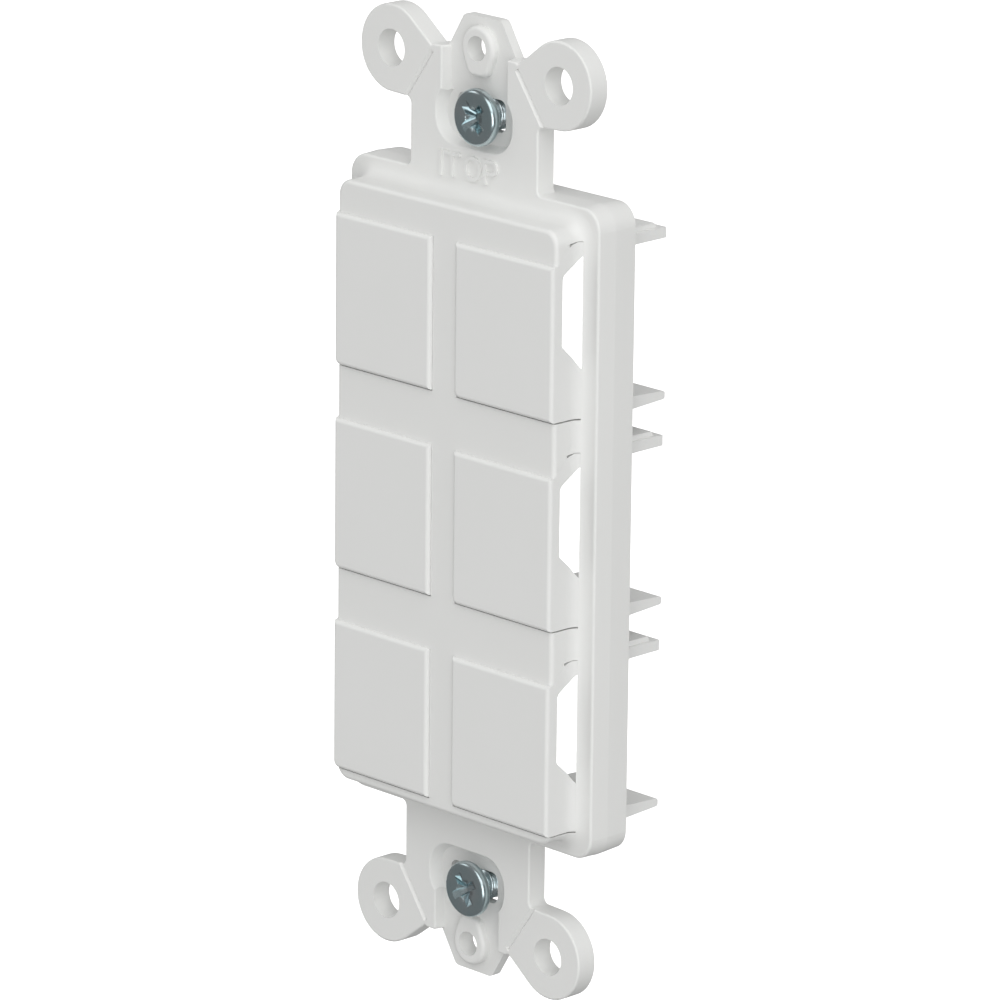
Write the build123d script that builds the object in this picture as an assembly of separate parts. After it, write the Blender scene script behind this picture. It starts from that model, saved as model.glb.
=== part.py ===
from build123d import *
import os
from math import acos, atan2, cos, pi, sin, sqrt, tan, radians

# Six-port device strap for a decorator wall plate, with six snap-in blanks and
# its two box screws. Millimetres. +X is to the right seen from the front, +Z is
# up, the front faces -Y. The origin is the middle of the strap's back plane, the
# plane that bears on the wall or box.

# ---- driving dimensions -------------------------------------------------------
STRAP_T = 2.35            # thickness of strap and ears
STRAP_HW = 9.42           # half width of the strap
END_Z = 47.8              # where the full-thickness strap ends
TAB_Z = 51.65             # end of the thin centre tab
FLOOR = 1.20              # depth of the recess floor below the strap's front

FLANGE_HW, FLANGE_HH = 18.58, 34.80   # half width and height at the parting line
FLANGE_D = 5.25           # depth of the flange ring
FLANGE_R = 2.5
DRAFT = 3.0               # degrees, both ways from the parting line

PLATE_HW, PLATE_HH = 16.25, 32.75     # half width and height of the raised plate
PLATE_D = 3.83            # how far the plate stands in front of the strap
PLATE_R = 1.7
COVE_R = 1.65

BOX_PITCH = 83.34         # box screws, centre to centre
PLATE_PITCH = 96.84       # wall plate screws, centre to centre
SLOT_L, SLOT_W = 7.1, 3.44
BOSS_HOLE_R = 1.33
BOSS_FRONT = 0.33         # a boss ends this far behind the strap's front

EAR_X, EAR_Z = 12.35, 46.60
EAR_R, EAR_HOLE_R = 4.65, 2.0
EDGE_R = 0.22             # rounding of the strap's and ears' front edges
CORNER_R = 0.65           # rounding between the strap's sides and the flange

ROW_TOPS = (29.08, 6.92, -15.24)      # upper edge of each row of blanks
FACE_H = 16.30            # height of a blank's face
PROUD = 0.48              # a blank's face stands this far in front of the plate
RIB_HW = 1.78             # half width of the rib between the columns
FIT = 0.04                # side play of a blank in its port
PORT_OUT = 16.70          # outer side of a port, in the cove, so the port shows from the side

SCREW_X = {1: 1.45, -1: 1.20}   # the screws stand a little right of centre in their slots
HEAD_R, HEAD_T, HEAD_FRONT = 3.02, 1.15, -1.6
NECK_R, THREAD_R, SHANK_END = 1.50, 1.72, 8.6

BACK = STRAP_T            # the model is drawn from the strap's front, then moved


# ---- helpers ------------------------------------------------------------------
def slab(face, y0, y1):
    """extrude a face drawn in X-Z from y0 to y1"""
    return Pos(0, y1, 0) * extrude(Plane.XZ * face, y1 - y0)


def poly(*pts):
    return make_face(Polyline(*pts, close=True))


def yz_prism(pts, x0, x1):
    """prism along X of an outline given as (y, z)"""
    pl = Plane(origin=(x0, 0, 0), x_dir=(0, 1, 0), z_dir=(1, 0, 0))
    return extrude(pl * poly(*pts), x1 - x0)


def rect_at(x0, x1, z0, z1):
    return Pos((x0 + x1) / 2, (z0 + z1) / 2) * Rectangle(x1 - x0, z1 - z0)


def tangent_point(px, pz, cx, cz, r, side):
    """point where the line from (px, pz) touches the circle"""
    dx, dz = px - cx, pz - cz
    d = sqrt(dx * dx + dz * dz)
    a = atan2(dz, dx)
    b = acos(r / d)
    t = a + side * b
    return cx + r * cos(t), cz + r * sin(t)


# ---- frame: flange ring, plate and cove ---------------------------------------
PARTING = STRAP_T
ring_sk = RectangleRounded(2 * FLANGE_HW, 2 * FLANGE_HH, FLANGE_R)
front_half = extrude(Plane(origin=(0, PARTING, 0), x_dir=(1, 0, 0), z_dir=(0, -1, 0)) * ring_sk,
                     PARTING, taper=DRAFT)
back_half = extrude(Plane(origin=(0, PARTING, 0), x_dir=(1, 0, 0), z_dir=(0, 1, 0)) * ring_sk,
                    FLANGE_D - PARTING, taper=DRAFT)
flange = front_half + back_half
side_edges = [e for e in flange.edges()
              if abs(e.center().Y) < 0.01 and abs(abs(e.center().X) - FLANGE_HW) < 0.4
              and e.length > 30]
flange = fillet(side_edges, 0.3)

plate = slab(RectangleRounded(2 * PLATE_HW, 2 * PLATE_HH, PLATE_R), -PLATE_D, 0.8)
plate = fillet(plate.faces().sort_by(Axis.Y)[0].edges(), 0.5)
hull = flange + plate
cove_edges = []
for e in hull.edges():
    c = e.center()
    if abs(c.Y) < 0.01:
        bb = e.bounding_box()
        if max(abs(bb.min.X), abs(bb.max.X)) < PLATE_HW + 0.05 and max(abs(bb.min.Z), abs(bb.max.Z)) < PLATE_HH + 0.05:
            cove_edges.append(e)
hull = fillet(cove_edges, COVE_R)

# ---- frame: strap, ears, tabs, recesses, bosses --------------------------------
def strap_end():
    """upper strap end, drawn at +Z"""
    body = rect_at(-STRAP_HW, STRAP_HW, 30.0, 42.2)
    body += poly((-STRAP_HW, 42.0), (STRAP_HW, 42.0), (6.55, END_Z), (-6.55, END_Z))
    body += poly((-6.55, END_Z - 0.3), (-6.55, END_Z), (-6.0, END_Z + 0.25), (6.0, END_Z + 0.25), (6.55, END_Z), (6.55, END_Z - 0.3))
    for s in (-1, 1):
        tx, tz = tangent_point(6.35, END_Z + 0.05, EAR_X, EAR_Z, EAR_R, -1)
        body += Pos(s * EAR_X, EAR_Z) * Circle(EAR_R)
        body += poly((s * 6.35, END_Z + 0.05), (s * tx, tz), (s * EAR_X, EAR_Z),
                     (s * EAR_X, EAR_Z - EAR_R), (s * (STRAP_HW - 0.3), 41.85), (s * 5.0, 42.0))
    # small rounding in the corner between the strap's side and the flange
    zc = FLANGE_HH - 0.14 + CORNER_R
    for s in (-1, 1):
        corner = rect_at(s * STRAP_HW - 0.2, s * STRAP_HW + 0.2, 34.0, zc) + rect_at(min(s * STRAP_HW, s * (STRAP_HW + CORNER_R)), max(s * STRAP_HW, s * (STRAP_HW + CORNER_R)), 34.0, zc)
        body += corner - Pos(s * (STRAP_HW + CORNER_R), zc) * Circle(CORNER_R)
    solid = slab(body, 0, STRAP_T)
    inner = []
    for e in solid.edges():
        c = e.center()
        if abs(e.length - STRAP_T) < 0.01 and abs(abs(c.X) - STRAP_HW) < 0.1 and abs(c.Z - 41.85) < 0.25:
            inner.append(e)
    if inner:
        solid = fillet(inner, 0.7)
    brow = [e for e in solid.edges() if abs(e.center().Y) < 0.01 and e.center().Z > 35.5]
    solid = fillet(brow, EDGE_R)
    # thin centre tab that carries the boss for the wall plate's screw
    tab = poly((-4.95, 46.5), (4.95, 46.5), (4.95, 48.0), (2.72, TAB_Z), (-2.72, TAB_Z), (-4.95, 48.0))
    tab = fillet([v for v in tab.vertices() if v.Y > TAB_Z - 0.1], 0.8)
    solid += slab(tab, FLOOR, STRAP_T)
    return solid


def strap_cuts():
    """recess, slot, score lines and holes of the upper strap end"""
    front = Plane(origin=(0, 0, 0), x_dir=(1, 0, 0), z_dir=(0, 1, 0))

    def sunk(face, taper):
        # z is mirrored on this plane, so the face is drawn with -z
        return extrude(front * face, FLOOR, taper=taper)
    neck = Pos(0, -47.2) * Rectangle(9.6, 8.0)
    pocket = Pos(0, -(37.9 + 44.5) / 2) * RectangleRounded(11.3, 6.6, 3.0)
    cut = sunk(neck, 12) + sunk(pocket, 26)
    cut += slab(Pos(0, BOX_PITCH / 2) * RectangleRounded(SLOT_L, SLOT_W, 0.9), -0.5, STRAP_T + 0.5)
    for s in (-1, 1):
        cut += slab(Pos(s * EAR_X, EAR_Z) * Circle(EAR_HOLE_R), -0.5, STRAP_T + 0.5)
        cut += slab(Pos(s * EAR_X, EAR_Z) * Circle(EAR_HOLE_R), -0.5, STRAP_T + 0.5)
        # score line where an ear snaps off
        ax, az, bx, bz = 6.22, 47.31, 10.22, 41.72
        L = sqrt((bx - ax) ** 2 + (bz - az) ** 2)
        ux, uz = (bx - ax) / L, (bz - az) / L
        pl = Plane(origin=(s * ax, 0, az), x_dir=(s * uz, 0, -ux), z_dir=(s * ux, 0, uz))
        pts = [(-0.30, 0.0), (0.30, 0.0), (0.0, 0.30)]
        tri = []
        for a, b in pts:
            p = Vector(s * ax, 0, az) + pl.x_dir * a + Vector(0, 1, 0) * b
            tri.append(p)
        up = [tri[0] + Vector(0, -0.3, 0), tri[1] + Vector(0, -0.3, 0)]
        face = make_face(Polyline(tri[0], up[0], up[1], tri[1], tri[2], close=True))
        cut += extrude(face, L, dir=(s * ux, 0, uz))
    return cut


def boss():
    """round boss with a tapering tail towards the slot"""
    base = Plane(origin=(0, FLOOR + 0.05, PLATE_PITCH / 2), x_dir=(1, 0, 0), z_dir=(0, -1, 0))
    rounds = Circle(2.35).edges() + (Pos(0.65, -1.95) * Circle(1.0)).edges() + (Pos(-0.65, -1.95) * Circle(1.0)).edges()
    face = make_hull(rounds)
    b = extrude(base * face, FLOOR + 0.05 - BOSS_FRONT)
    rim = [e for e in b.edges() if abs(e.center().Y - BOSS_FRONT) < 0.01]
    return fillet(rim, 0.45)


upper = strap_end() - strap_cuts() + boss()
upper -= slab(Pos(0, PLATE_PITCH / 2) * Circle(BOSS_HOLE_R), -1.0, STRAP_T + 0.5)
pocket_rim = []
for e in upper.edges():
    c, bb = e.center(), e.bounding_box()
    if abs(bb.min.Y) < 0.01 and abs(bb.max.Y) < 0.01 and abs(c.X) < 5.75 and 37.0 < c.Z < 48.2 and e.length > 0.2:
        pocket_rim.append(e)
upper = fillet(pocket_rim, 0.25)
lower = Rotation(0, 180, 0) * upper

# raised orientation mark on the upper strap: a bar and the word that says which end is up
MARK_H, STROKE = 0.27, 0.40


def mark():
    z0, z1 = 34.62, 37.25
    sk = rect_at(-4.86, -4.50, z0 - 0.1, z1)
    sk += rect_at(-4.15, -1.75, z1 - STROKE, z1) + rect_at(-3.15, -2.75, z0, z1)
    o = Pos(0.10, (z0 + z1) / 2) * (Ellipse(1.27, (z1 - z0) / 2) - Ellipse(1.27 - STROKE, (z1 - z0) / 2 - STROKE))
    sk += o
    sk += rect_at(1.72, 2.12, z0, z1)
    bowl = Pos(2.95, z1 - 0.80) * (Circle(0.80) - Circle(0.80 - STROKE + 0.04)) - rect_at(1.5, 2.95, z0, z1 + 1)
    bowl += rect_at(2.0, 2.96, z1 - 0.36, z1) + rect_at(2.0, 2.96, z1 - 1.60, z1 - 1.24)
    sk += bowl
    return slab(sk, -MARK_H, 0.3)


# ---- ports ---------------------------------------------------------------------
def port_profile(zt):
    return [(y, zt + z) for y, z in (
        (-5.0, -16.45), (-5.0, 0.05), (-PLATE_D, 0.05), (-1.98, 1.85), (-1.98, 2.12), (-0.9, 2.28),
        (1.25, 2.28), (1.25, 1.75), (6.0, 1.75), (6.0, -17.75), (0.40, -17.75), (0.40, -16.45))]


frame = hull
frame += upper
frame += lower
frame += mark()
for zt in ROW_TOPS:
    for s in (-1, 1):
        xa, xb = (RIB_HW, PORT_OUT) if s > 0 else (-PORT_OUT, -RIB_HW)
        frame -= yz_prism(port_profile(zt), xa, xb)


# ---- blanks --------------------------------------------------------------------
def blank(zt, s):
    """one snap-in blank, drawn for the right column and mirrored for the left"""
    x0, x1 = RIB_HW + FIT, PLATE_HW
    f = -PLATE_D - PROUD
    back = -2.90                              # rear of the front wall
    # front wall, all its edges rounded, one lower corner more
    wall = yz_prism([(y, zt + z) for y, z in ((f, -FACE_H), (f, 0.02), (-PLATE_D - 0.01, 0.02), (back, 0.62), (back, -FACE_H))], x0, x1)
    corner_x = x0 if s > 0 else x1
    low = [e for e in wall.edges() if abs(e.center().X - corner_x) < 0.01
           and abs(e.center().Z - (zt - FACE_H)) < 0.01]
    wall = fillet(low, 0.75)
    front = wall.faces().sort_by(Axis.Y)[0]
    wall = fillet(front.edges(), 0.43)
    # roof that slopes up behind the frame's edge, with its catch
    roof = [(y, zt + z) for y, z in (
        (-3.86, 0.01), (-2.01, 1.805), (-0.95, 2.22), (1.05, 2.22), (1.15, 1.56), (2.4, 1.52),
        (2.4, 0.08), (0.9, 1.0), (0.05, 1.12), (-0.45, 0.80), (-1.3, -0.10), (-2.2, -0.66), (-2.76, -1.06),
        (back, -1.45), (-3.4, -1.5))]
    body = wall + (yz_prism(roof, x0, PORT_OUT - 0.012) & hull)
    # bottom wall, stepping down behind the frame's edge
    floor = [(-3.4, -FACE_H), (0.18, -FACE_H), (0.75, -16.45), (0.75, -17.50), (2.4, -17.50),
             (2.4, -15.90), (0.2, -15.55), (-2.9, -15.05), (-3.4, -15.0)]
    body += yz_prism([(y, zt + z) for y, z in floor], x0 + 0.8, x1 - 0.8)
    # arms behind the frame
    arm_x0, arm_x1 = x0 + 1.15, 15.0
    body += yz_prism([(y, zt + z) for y, z in ((2.3, 1.33), (13.2, 1.31), (13.2, 0.16), (2.3, 0.08))], arm_x0, arm_x1)
    catch = [(FLANGE_D + 0.05, 1.1), (FLANGE_D + 0.05, 1.90), (11.8, 1.88), (12.15, 1.25), (12.15, 1.1)]
    body += yz_prism([(y, zt + z) for y, z in catch], arm_x0 + 0.35, arm_x1 - 0.35)
    low_arm = yz_prism([(y, zt + z) for y, z in ((2.3, -15.90), (8.8, -15.92), (13.4, -16.14), (13.4, -17.02), (8.8, -17.28), (2.3, -17.42))], arm_x0, arm_x1)
    tip = [e for e in low_arm.edges() if abs(e.center().Y - 13.4) < 0.01 and e.length > 5]
    body += fillet(tip, 0.28)
    # cheeks in the lower corners, the outer one flush with the plate's side and cove;
    # the one at the rounded corner keeps clear of that rounding
    def cheek(rounded):
        foot = [(-2.6, -FACE_H), (-3.4, -FACE_H + 0.8)] if rounded else [(-3.4, -FACE_H)]
        return [(y, zt + z) for y, z in [(-3.4, -8.0), (back, -8.30), (back + 0.08, -8.52), (-1.4, -9.82), (-0.41, -11.20), (0.12, -11.90), (0.12, -FACE_H)] + foot]
    body += yz_prism(cheek(s > 0), x0, x0 + 1.0)
    body += yz_prism(cheek(s < 0), x1 - 1.05, x1)
    body += yz_prism(cheek(s < 0), x1 - 0.3, PORT_OUT - 0.012) & hull
    if s < 0:
        body = mirror(body, about=Plane.YZ)
    return body


# ---- box screws ----------------------------------------------------------------
def screw(zc, turn):
    """pan head screw with a cross recess; the thread's mean diameter"""
    free = BACK + 0.35                        # the thread's full size starts behind the strap
    prof = [(0, HEAD_FRONT), (2.45, HEAD_FRONT), (2.72, HEAD_FRONT + 0.10), (2.90, HEAD_FRONT + 0.28),
            (HEAD_R, HEAD_FRONT + 0.58), (HEAD_R, HEAD_FRONT + HEAD_T - 0.18), (HEAD_R - 0.14, HEAD_FRONT + HEAD_T),
            (NECK_R, HEAD_FRONT + HEAD_T), (NECK_R, free), (THREAD_R, free), (THREAD_R, SHANK_END - 0.6),
            (THREAD_R - 0.5, SHANK_END), (0, SHANK_END)]
    face = make_face(Polyline(*[(r, y, 0) for r, y in prof], close=True))
    body = revolve(face, Axis.Y, 360)
    arm = [(-1.80, HEAD_FRONT - 0.1), (1.80, HEAD_FRONT - 0.1), (1.75, HEAD_FRONT + 0.1), (0.55, HEAD_FRONT + 1.45), (-0.55, HEAD_FRONT + 1.45), (-1.75, HEAD_FRONT + 0.1)]
    for k in (0, 90):
        c = extrude(make_face(Polyline(*[(a, b, -0.42) for a, b in arm], close=True)), 0.84)
        body -= Rotation(0, 45 + turn + k, 0) * c
    return Pos(SCREW_X[1 if zc > 0 else -1], 0, zc) * body


# ---- write ---------------------------------------------------------------------
os.makedirs("parts", exist_ok=True)
nodes = {"frame": frame}
for r, zt in zip(("top", "middle", "bottom"), ROW_TOPS):
    for s, side in ((-1, "left"), (1, "right")):
        nodes["blank_%s_%s" % (r, side)] = blank(zt, s)
nodes["screw_upper"] = screw(BOX_PITCH / 2, 4)
nodes["screw_lower"] = screw(-BOX_PITCH / 2, -12)
for name, shape in nodes.items():
    shape = Pos(0, -BACK, 0) * shape
    solids = shape.solids()
    print("%-20s solids %d volume %.2f" % (name, len(solids), shape.volume))
    export_step(solids[0] if len(solids) == 1 else Compound(children=list(solids)), "parts/%s.step" % name)
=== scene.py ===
import math
import bpy
from mathutils import Matrix, Vector


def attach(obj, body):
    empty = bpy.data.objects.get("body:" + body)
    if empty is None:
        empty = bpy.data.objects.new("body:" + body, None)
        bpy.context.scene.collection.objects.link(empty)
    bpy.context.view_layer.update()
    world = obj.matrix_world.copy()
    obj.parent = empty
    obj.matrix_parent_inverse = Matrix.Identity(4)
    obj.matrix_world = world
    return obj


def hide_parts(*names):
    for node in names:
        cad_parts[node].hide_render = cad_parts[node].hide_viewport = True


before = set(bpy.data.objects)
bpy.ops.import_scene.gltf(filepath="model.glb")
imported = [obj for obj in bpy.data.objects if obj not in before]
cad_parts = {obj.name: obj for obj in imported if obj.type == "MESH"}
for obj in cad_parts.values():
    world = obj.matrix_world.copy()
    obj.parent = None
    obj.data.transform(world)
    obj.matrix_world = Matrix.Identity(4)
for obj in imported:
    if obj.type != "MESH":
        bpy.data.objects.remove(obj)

MM = 0.001
scene = bpy.context.scene
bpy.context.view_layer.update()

# ---- camera ---------------------------------------------------------------------
AZ, EL, ROLL = math.radians(45.775), math.radians(15.8915), math.radians(0.6094)
DIST, FOCAL, TX, TZ = 714.22, 6863.3, 3.1346, 0.5717
r = Vector((math.cos(AZ), math.sin(AZ), 0.0))
f = -Vector((math.sin(AZ) * math.cos(EL), -math.cos(AZ) * math.cos(EL), math.sin(EL)))
u = r.cross(f)
r2 = r * math.cos(ROLL) + u * math.sin(ROLL)
u2 = -r * math.sin(ROLL) + u * math.cos(ROLL)
place = -DIST * f + r * TX + u * TZ - Vector((0.0, 2.35, 0.0))
cam_data = bpy.data.cameras.new("camera")
cam = bpy.data.objects.new("camera", cam_data)
scene.collection.objects.link(cam)
cam_data.sensor_width = 36.0
cam_data.lens = FOCAL / 1000.0 * 36.0
cam_data.clip_start = 0.05
cam_data.clip_end = 20.0
m = Matrix((( r2.x, u2.x, -f.x, place.x * MM),
            ( r2.y, u2.y, -f.y, place.y * MM),
            ( r2.z, u2.z, -f.z, place.z * MM),
            (0, 0, 0, 1)))
cam.matrix_world = m
scene.camera = cam


# ---- materials ------------------------------------------------------------------
def base(name):
    mat = bpy.data.materials.new(name)
    mat.use_nodes = True
    return mat, mat.node_tree.nodes, mat.node_tree.links, mat.node_tree.nodes["Principled BSDF"]


def noise_of(nodes, links, scale, detail, coord="Object"):
    tc = nodes.new("ShaderNodeTexCoord")
    n = nodes.new("ShaderNodeTexNoise")
    n.inputs["Scale"].default_value = scale
    n.inputs["Detail"].default_value = detail
    links.new(tc.outputs[coord], n.inputs["Vector"])
    return n


def plastic(name, tone, rough):
    """satin moulded plastic: a fine spark-eroded grain and a very faint cloudiness of tone"""
    mat, nodes, links, bsdf = base(name)
    grain = noise_of(nodes, links, 5200.0, 2.0)
    cloud = noise_of(nodes, links, 90.0, 3.0)
    mix = nodes.new("ShaderNodeMix")
    mix.data_type = "RGBA"
    mix.inputs["A"].default_value = tone
    mix.inputs["B"].default_value = (tone[0] * 0.975, tone[1] * 0.978, tone[2] * 0.972, 1)
    links.new(cloud.outputs["Fac"], mix.inputs["Factor"])
    links.new(mix.outputs["Result"], bsdf.inputs["Base Color"])
    rr = nodes.new("ShaderNodeMapRange")
    rr.inputs["To Min"].default_value = rough - 0.03
    rr.inputs["To Max"].default_value = rough + 0.05
    links.new(grain.outputs["Fac"], rr.inputs["Value"])
    links.new(rr.outputs["Result"], bsdf.inputs["Roughness"])
    bump = nodes.new("ShaderNodeBump")
    bump.inputs["Strength"].default_value = 0.10
    bump.inputs["Distance"].default_value = 0.00002
    links.new(grain.outputs["Fac"], bump.inputs["Height"])
    links.new(bump.outputs["Normal"], bsdf.inputs["Normal"])
    bsdf.inputs["IOR"].default_value = 1.5
    bsdf.inputs["Subsurface Weight"].default_value = 0.0
    return mat


def zinc(name, tone):
    """bright zinc plate with a clear bluish passivation and fine scratches from tumbling"""
    mat, nodes, links, bsdf = base(name)
    cloud = noise_of(nodes, links, 420.0, 3.0)
    ramp = nodes.new("ShaderNodeValToRGB")
    ramp.color_ramp.elements[0].position = 0.35
    ramp.color_ramp.elements[0].color = (tone[0] * 0.88, tone[1] * 1.02, tone[2] * 1.03, 1)
    ramp.color_ramp.elements[1].position = 0.68
    ramp.color_ramp.elements[1].color = (tone[0] * 1.02, tone[1] * 1.06, tone[2] * 1.06, 1)
    links.new(cloud.outputs["Fac"], ramp.inputs["Fac"])
    links.new(ramp.outputs["Color"], bsdf.inputs["Base Color"])
    fine = noise_of(nodes, links, 2600.0, 4.0)
    rr = nodes.new("ShaderNodeMapRange")
    rr.inputs["To Min"].default_value = 0.17
    rr.inputs["To Max"].default_value = 0.29
    links.new(fine.outputs["Fac"], rr.inputs["Value"])
    links.new(rr.outputs["Result"], bsdf.inputs["Roughness"])
    bump = nodes.new("ShaderNodeBump")
    bump.inputs["Strength"].default_value = 0.12
    bump.inputs["Distance"].default_value = 0.00002
    links.new(fine.outputs["Fac"], bump.inputs["Height"])
    links.new(bump.outputs["Normal"], bsdf.inputs["Normal"])
    bsdf.inputs["Metallic"].default_value = 1.0
    return mat


frame_white = plastic("frame_white", (0.80, 0.803, 0.79, 1), 0.40)
blank_white = plastic("blank_white", (0.80, 0.803, 0.792, 1), 0.42)
plated = zinc("zinc_plate", (0.55, 0.585, 0.605))
for n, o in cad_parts.items():
    mat = plated if n.startswith("screw") else (frame_white if n == "frame" else blank_white)
    for sl in o.material_slots:
        sl.material = mat


# ---- box screws with their threads ------------------------------------------------
HEAD_R, HEAD_T, HEAD_FRONT = 3.02, 1.15, -1.6      # as the solids, from the strap's front
THREAD_R, ROOT_R, PITCH = 1.715, 1.30, 0.794
END, BACK = 8.6, 2.35
BOX_PITCH = 83.34


def mesh_object(name, verts, faces, smooth=True):
    me = bpy.data.meshes.new(name)
    me.from_pydata(verts, [], faces)
    me.validate()
    me.update()
    o = bpy.data.objects.new(name, me)
    scene.collection.objects.link(o)
    if smooth:
        for p in me.polygons:
            p.use_smooth = True
    return o


def lathe(name, prof, seg):
    """closed solid of revolution about Y; prof is (radius, y) from the axis to the axis"""
    verts, faces, rings = [], [], []
    for rad, y in prof:
        if rad < 1e-6:
            rings.append([len(verts)])
            verts.append((0, y, 0))
        else:
            rings.append([len(verts) + k for k in range(seg)])
            for k in range(seg):
                a = 2 * math.pi * k / seg
                verts.append((rad * math.cos(a), y, rad * math.sin(a)))
    for a, b in zip(rings, rings[1:]):
        for k in range(seg):
            k2 = (k + 1) % seg
            if len(a) == 1:
                faces.append((a[0], b[k], b[k2]))
            elif len(b) == 1:
                faces.append((a[k], b[0], a[k2]))
            else:
                faces.append((a[k], b[k], b[k2], a[k2]))
    return mesh_object(name, verts, faces)


def recess_cutter(name, turn):
    """the cross recess: two tapered wings and a tapered core"""
    y0, y1, y2 = HEAD_FRONT - 0.15, HEAD_FRONT + 0.02, HEAD_FRONT + 1.0
    wings = []
    for k in (0, 90):
        a = math.radians(45 + turn + k)
        ca, sa = math.cos(a), math.sin(a)
        verts = []
        for y, half, wide in ((y0, 1.82, 0.46), (y1, 1.76, 0.42), (y2, 0.50, 0.20)):
            for p, q in ((-half, -wide), (half, -wide), (half, wide), (-half, wide)):
                verts.append((p * ca - q * sa, y, p * sa + q * ca))
        faces = [(0, 1, 2, 3), (11, 10, 9, 8)]
        for r0 in (0, 4):
            for c in range(4):
                c2 = (c + 1) % 4
                faces.append((r0 + c, r0 + 4 + c, r0 + 4 + c2, r0 + c2))
        wings.append(mesh_object(name + str(k), verts, faces, False))
    core = lathe(name + "core", [(0, y0), (1.06, y0), (0.98, y1), (0.30, y2 - 0.04), (0, y2 + 0.04)], 24)
    return wings + [core]


def head(name, turn):
    F, B = HEAD_FRONT, HEAD_FRONT + HEAD_T
    prof = [(0, F), (2.30, F), (2.50, F + 0.015), (2.66, F + 0.065), (2.80, F + 0.15), (2.91, F + 0.27),
            (2.98, F + 0.42), (HEAD_R - 0.005, F + 0.60), (HEAD_R - 0.005, B - 0.20), (2.97, B - 0.09), (2.88, B - 0.02), (2.80, B), (1.2, B), (0, B)]
    o = lathe(name, prof, 72)
    cutters = recess_cutter(name + "_cut", turn)
    bpy.context.view_layer.objects.active = o
    for c in cutters:
        m = o.modifiers.new("cut", "BOOLEAN")
        m.operation = "DIFFERENCE"
        m.solver = "EXACT"
        m.object = c
        with bpy.context.temp_override(object=o, active_object=o, selected_objects=[o]):
            bpy.ops.object.modifier_apply(modifier=m.name)
    for c in cutters:
        bpy.data.objects.remove(c)
    with bpy.context.temp_override(object=o, active_object=o, selected_objects=[o]):
        bpy.ops.object.shade_smooth_by_angle(angle=math.radians(28))
    return o


def thread(name):
    """helical thread from under the head to the blunt tip"""
    seg, step = 60, PITCH / 14
    y0, y1 = HEAD_FRONT + HEAD_T - 0.05, END
    n = int((y1 - y0) / step)
    verts, faces = [], []
    for i in range(n + 1):
        y = y0 + (y1 - y0) * i / n
        for k in range(seg):
            a = 2 * math.pi * k / seg
            ph = ((y / PITCH) - k / seg) % 1.0
            t = abs(ph - 0.5) * 2.0                       # 0 at the crest, 1 at the root
            h = min(1.0, max(0.0, (0.94 - t) / 0.82))
            run_in = min(1.0, max(0.0, (y - y0) / 0.5))
            rad = ROOT_R + (THREAD_R - ROOT_R) * h * run_in
            rad = min(rad, THREAD_R - 0.5 + max(0.0, (y1 - y)) * 0.85)
            verts.append((rad * math.cos(a), y, rad * math.sin(a)))
    for i in range(n):
        for k in range(seg):
            k2 = (k + 1) % seg
            faces.append((i * seg + k, i * seg + k2, (i + 1) * seg + k2, (i + 1) * seg + k))
    c0 = len(verts)
    verts.append((0, y0, 0))
    verts.append((0, y1, 0))
    for k in range(seg):
        k2 = (k + 1) % seg
        faces.append((c0, k2, k))
        faces.append((c0 + 1, n * seg + k, n * seg + k2))
    o = mesh_object(name, verts, [tuple(reversed(q)) for q in faces])
    with bpy.context.temp_override(object=o, active_object=o, selected_objects=[o]):
        bpy.ops.object.shade_smooth_by_angle(angle=math.radians(50))
    return o


def settle(o, x, z):
    o.data.transform(Matrix.Translation((x * MM, -BACK * MM, z * MM)) @ Matrix.Scale(MM, 4))
    o.data.update()


for node, body, x, z, turn in (("screw_upper", "upper_screw", 1.45, BOX_PITCH / 2, -1.0),
                               ("screw_lower", "lower_screw", 1.20, -BOX_PITCH / 2, -12.0)):
    for part in (head(node + "_head", turn), thread(node + "_thread")):
        settle(part, x, z)
        part.data.materials.append(plated)
        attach(part, body)
        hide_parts(node)

# ---- floor and light --------------------------------------------------------------
bpy.ops.mesh.primitive_plane_add(size=12.0, location=(0, 0, -0.17))
floor = bpy.context.object
floor.name = "floor"
fm, _, _, fb = base("floor_pale")
fb.inputs["Base Color"].default_value = (0.92, 0.92, 0.92, 1)
fb.inputs["Roughness"].default_value = 0.9
fb.inputs["Emission Color"].default_value = (1, 1, 1, 1)
fb.inputs["Emission Strength"].default_value = 0.80
floor.data.materials.append(fm)
floor.visible_diffuse = False        # it is only a pale ground: the light on the part comes from round about
floor.visible_glossy = False
floor.visible_shadow = False


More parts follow.
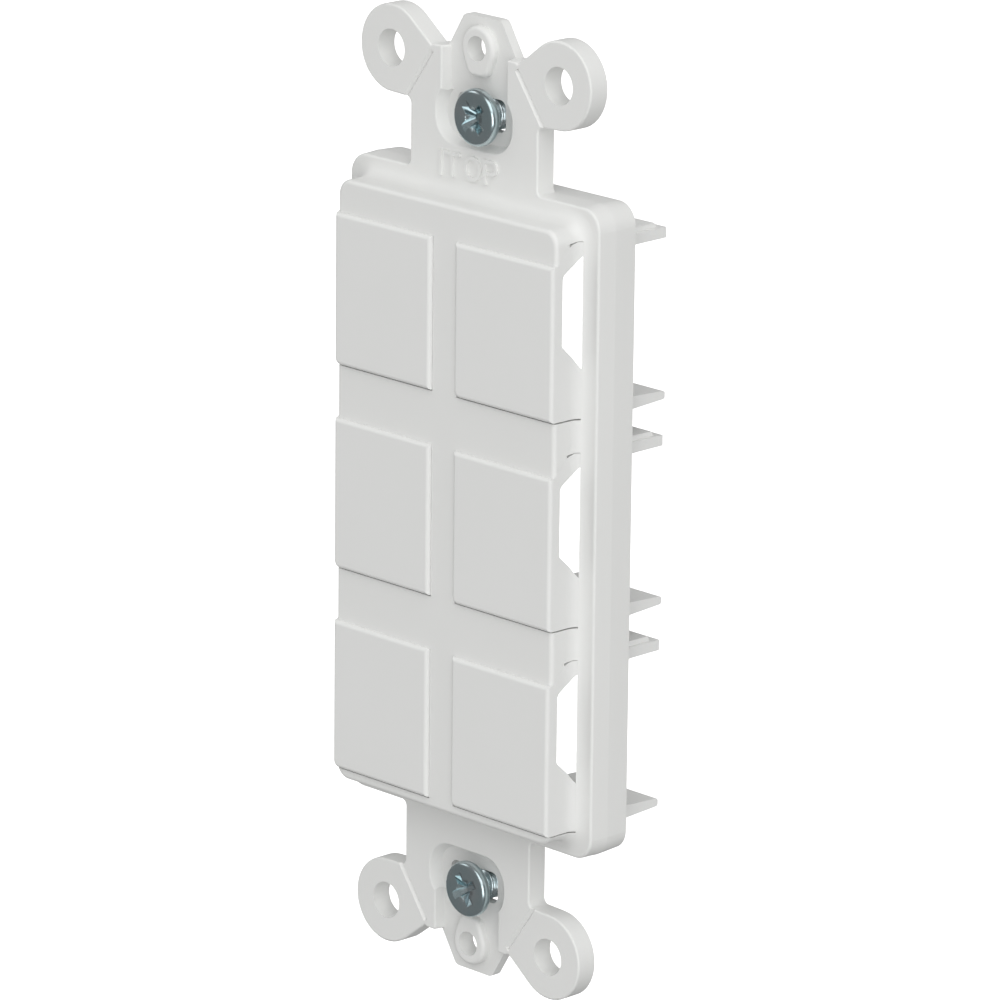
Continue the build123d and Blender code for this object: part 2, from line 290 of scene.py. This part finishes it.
def area(name, az, el, dist, size, power):
    a, e = math.radians(az), math.radians(el)
    d = Vector((math.sin(a) * math.cos(e), -math.cos(a) * math.cos(e), math.sin(e)))
    ld = bpy.data.lights.new(name, "AREA")
    ld.shape = "SQUARE"
    ld.size = size
    ld.energy = power
    lo = bpy.data.objects.new(name, ld)
    scene.collection.objects.link(lo)
    lo.location = d * dist
    lo.rotation_euler = (-d).to_track_quat("-Z", "Y").to_euler()
    return lo


area("key", 51, 45, 1.5, 1.3, 7.8)
front = area("front", 48, -2, 1.5, 0.8, 6.6)
front.data.shape = "RECTANGLE"
front.data.size_y = 1.0
area("side", -60, 38, 1.5, 0.6, 1.4)
world = scene.world or bpy.data.worlds.new("World")
scene.world = world
world.use_nodes = True
wn, wl = world.node_tree.nodes, world.node_tree.links
wn.clear()
out = wn.new("ShaderNodeOutputWorld")
mixs = wn.new("ShaderNodeMixShader")
lp = wn.new("ShaderNodeLightPath")
dim = wn.new("ShaderNodeBackground")
dim.inputs["Color"].default_value = (1, 1, 1, 1)
# the room is a little brighter above than below
tc = wn.new("ShaderNodeTexCoord")
sep = wn.new("ShaderNodeSeparateXYZ")
mad = wn.new("ShaderNodeMath")
mad.operation = "MULTIPLY_ADD"
mad.inputs[1].default_value = 0.23
mad.inputs[2].default_value = 0.515
wl.new(tc.outputs["Generated"], sep.inputs["Vector"])
wl.new(sep.outputs["Z"], mad.inputs[0])
wl.new(mad.outputs["Value"], dim.inputs["Strength"])
lit = wn.new("ShaderNodeBackground")
lit.inputs["Color"].default_value = (1, 1, 1, 1)
lit.inputs["Strength"].default_value = 1.0
# bright metal mirrors a darker studio beyond the lights
dark = wn.new("ShaderNodeBackground")
dark.inputs["Color"].default_value = (1, 1, 1, 1)
dark.inputs["Strength"].default_value = 0.22
mixg = wn.new("ShaderNodeMixShader")
wl.new(lp.outputs["Is Glossy Ray"], mixg.inputs["Fac"])
wl.new(dim.outputs["Background"], mixg.inputs[1])
wl.new(dark.outputs["Background"], mixg.inputs[2])
wl.new(lp.outputs["Is Camera Ray"], mixs.inputs["Fac"])
wl.new(mixg.outputs["Shader"], mixs.inputs[1])
wl.new(lit.outputs["Background"], mixs.inputs[2])
wl.new(mixs.outputs["Shader"], out.inputs["Surface"])
scene.view_settings.view_transform = "Standard"
scene.view_settings.look = "None"
